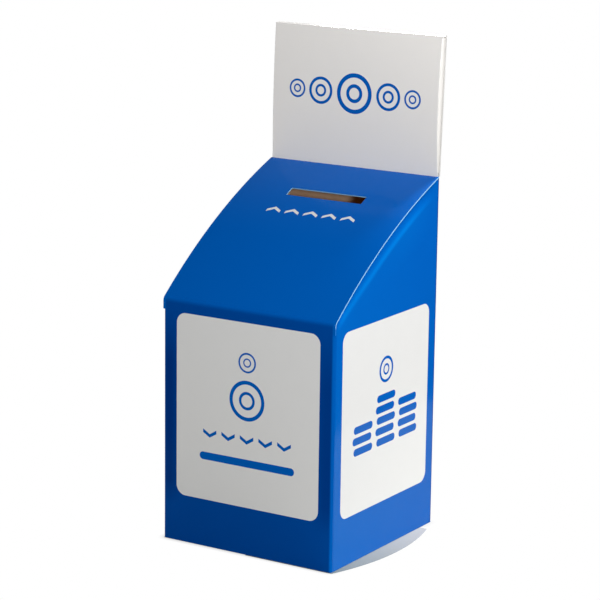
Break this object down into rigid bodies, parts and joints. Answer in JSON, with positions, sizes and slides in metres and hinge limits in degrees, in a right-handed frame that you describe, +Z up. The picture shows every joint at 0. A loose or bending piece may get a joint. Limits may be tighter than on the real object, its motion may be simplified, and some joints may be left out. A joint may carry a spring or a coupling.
{
  "type": "counter-top donation box",
  "caption": "Folding carton collection box with a crowned, slotted lid, an upright display header and a tuck-in base.",
  "frame": {"origin": "middle of the base, on the surface that the box stands on", "axes": "+Z up, the front wall faces -Y, +X to the right seen from the front"},
  "size_m": [0.1512, 0.1554, 0.3805],
  "materials": {
    "blue_print": "gloss",
    "white_print": "satin",
    "bare_board": "matte"
  },
  "bodies": {
    "box": {"front_wall": "blue_print", "right_wall": "blue_print", "back_wall": "blue_print", "left_wall": "blue_print", "glue_seam_flap": "bare_board", "right_lid_flap": "blue_print", "left_lid_flap": "blue_print", "header_back": "white_print"},
    "lid": {"lid_panel": "blue_print"},
    "header": {"header_front": "white_print", "header_right_return": "white_print", "header_left_return": "white_print", "header_spine": "white_print", "header_tuck_flap": "white_print"},
    "base": {"base_panel": "bare_board"},
    "tuck_tab": {"base_tuck_tab": "bare_board"},
    "right_dust": {"right_dust_flap": "bare_board"},
    "left_dust": {"left_dust_flap": "bare_board"}
  },
  "joints": [
    {"name": "lid_crease", "type": "hinge", "parent": "box", "child": "lid", "pos_m": [0, -0.07323, 0.18901], "axis": [1, 0, 0], "range_deg": [0, 120]},
    {"name": "header_crease", "type": "hinge", "parent": "lid", "child": "header", "pos_m": [0, 0.072, 0.274], "axis": [1, 0, 0], "range_deg": [0, 95]},
    {"name": "base_crease", "type": "hinge", "parent": "box", "child": "base", "pos_m": [0, 0.075, 0], "axis": [1, 0, 0], "range_deg": [0, 135]},
    {"name": "tuck_tab_crease", "type": "hinge", "parent": "base", "child": "tuck_tab", "pos_m": [0, -0.0735, 0], "axis": [1, 0, 0], "range_deg": [0, 81]},
    {"name": "right_dust_crease", "type": "hinge", "parent": "box", "child": "right_dust", "pos_m": [0.074, 0, 0.002], "axis": [0, 1, 0], "range_deg": [0, 75]},
    {"name": "left_dust_crease", "type": "hinge", "parent": "box", "child": "left_dust", "pos_m": [-0.074, 0, 0.002], "axis": [0, -1, 0], "range_deg": [0, 75]}
  ],
  "couplings": [
    {"joint": "tuck_tab_crease", "follows": "base_crease", "ratio": 0.6}
  ]
}
